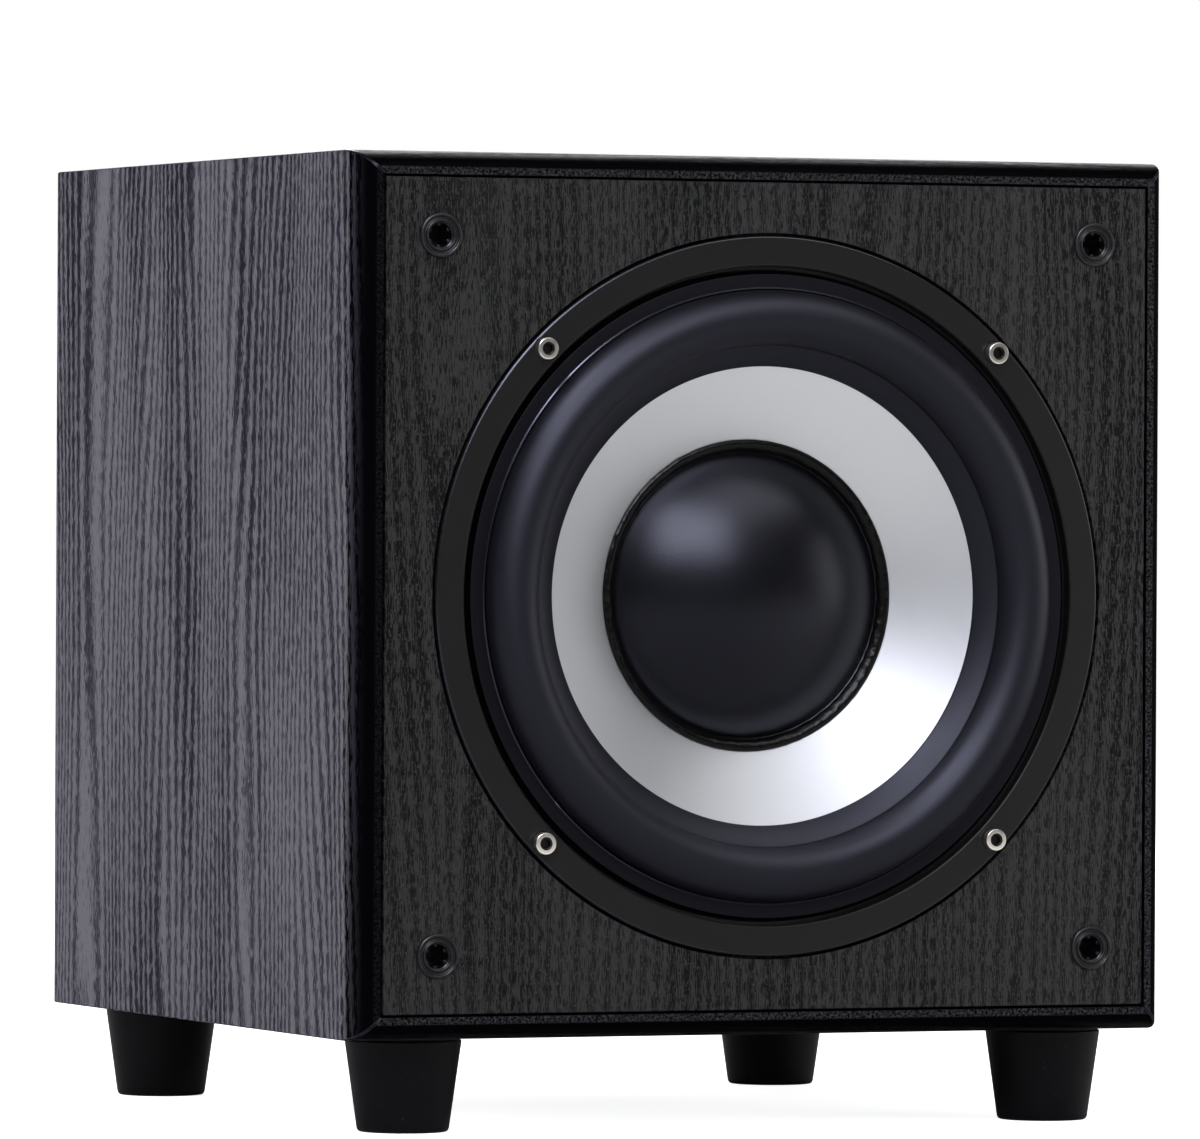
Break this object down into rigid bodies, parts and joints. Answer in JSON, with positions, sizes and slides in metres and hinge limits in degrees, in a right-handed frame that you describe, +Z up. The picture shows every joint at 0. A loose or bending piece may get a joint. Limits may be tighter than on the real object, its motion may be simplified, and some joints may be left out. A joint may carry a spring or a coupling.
{
  "type": "subwoofer",
  "caption": "Cube-shaped powered subwoofer cabinet in black wood grain on tapered feet, with a front driver that has a bare metal cone, and a rear amplifier plate and port.",
  "frame": {"origin": "on the floor, under the middle of the whole object's box", "axes": "+Z up, the driver faces -Y, +X to the right seen from the front"},
  "size_m": [0.28, 0.3066, 0.31],
  "materials": {
    "vinyl_wood": "black wood-grain vinyl on fibreboard",
    "black_metal": "satin black paint",
    "surround_rubber": "satin",
    "cone_metal": "satin anodised",
    "black_plastic": "moulded black",
    "screw_nickel": "nickel plate",
    "steel": "plain",
    "ferrite": "sintered ferrite",
    "copper_wire": "enamelled copper",
    "resin_cloth": "resin-dipped cloth and paper",
    "wadding": "polyester wadding",
    "circuit": "fibreglass board",
    "amber_plastic": "tinted lens and varnished tape"
  },
  "bodies": {
    "cabinet": {"top_panel": "vinyl_wood", "bottom_panel": "vinyl_wood", "left_panel": "vinyl_wood", "right_panel": "vinyl_wood", "front_baffle": "vinyl_wood", "back_panel": "vinyl_wood", "driver_basket": "black_metal", "amplifier_plate": "black_metal", "clamp_ring": "surround_rubber", "driver_gasket": "surround_rubber", "amplifier_gasket": "surround_rubber", "speaker_wire": "surround_rubber", "port_tube": "black_plastic", "power_switch": "black_plastic", "line_inputs": "black_plastic", "power_inlet": "black_plastic", "capacitor": "black_plastic", "grille_socket_top_left": "black_plastic", "grille_socket_top_right": "black_plastic", "grille_socket_bottom_left": "black_plastic", "grille_socket_bottom_right": "black_plastic", "foot_front_left": "black_plastic", "foot_front_right": "black_plastic", "foot_rear_left": "black_plastic", "foot_rear_right": "black_plastic", "driver_screw_top_left": "screw_nickel", "driver_screw_top_right": "screw_nickel", "driver_screw_bottom_left": "screw_nickel", "driver_screw_bottom_right": "screw_nickel", "top_plate": "steel", "pole_yoke": "steel", "volume_potentiometer": "steel", "crossover_potentiometer": "steel", "phase_switch": "steel", "foot_screw_front_left": "steel", "foot_screw_front_right": "steel", "foot_screw_rear_left": "steel", "foot_screw_rear_right": "steel", "amplifier_screw_top_left": "steel", "amplifier_screw_top_right": "steel", "amplifier_screw_bottom_left": "steel", "amplifier_screw_bottom_right": "steel", "magnet": "ferrite", "damping_wadding": "wadding", "circuit_board": "circuit", "terminal_strip": "circuit", "status_light": "amber_plastic", "transformer": "amber_plastic"},
    "cone_assembly": {"cone": "cone_metal", "dust_cap": "black_plastic", "coil_former": "resin_cloth", "voice_coil": "copper_wire", "surround": "surround_rubber", "spider": "resin_cloth"},
    "volume_control": {"volume_knob": "black_plastic", "volume_shaft": "steel"},
    "crossover_control": {"crossover_knob": "black_plastic", "crossover_shaft": "steel"},
    "rocker": {"power_rocker": "black_plastic"},
    "phase": {"phase_lever": "black_plastic"}
  },
  "joints": [
    {"name": "cone_travel", "type": "slide", "parent": "cabinet", "child": "cone_assembly", "axis": [0, -1, 0], "range_m": [-0.006, 0.006], "stiffness_N_per_m": 2200, "deforming": ["surround", "spider"]},
    {"name": "volume_turn", "type": "hinge", "parent": "cabinet", "child": "volume_control", "pos_m": [0.012, 0.1408, 0.165], "axis": [0, -1, 0], "range_deg": [-150, 150]},
    {"name": "crossover_turn", "type": "hinge", "parent": "cabinet", "child": "crossover_control", "pos_m": [0.052, 0.1408, 0.165], "axis": [0, -1, 0], "range_deg": [-150, 150]},
    {"name": "power_rock", "type": "hinge", "parent": "cabinet", "child": "rocker", "pos_m": [0.014, 0.1398, 0.081], "axis": [-1, 0, 0], "range_deg": [0, 20]},
    {"name": "phase_slide", "type": "slide", "parent": "cabinet", "child": "phase", "axis": [1, 0, 0], "range_m": [0, 0.004]}
  ]
}
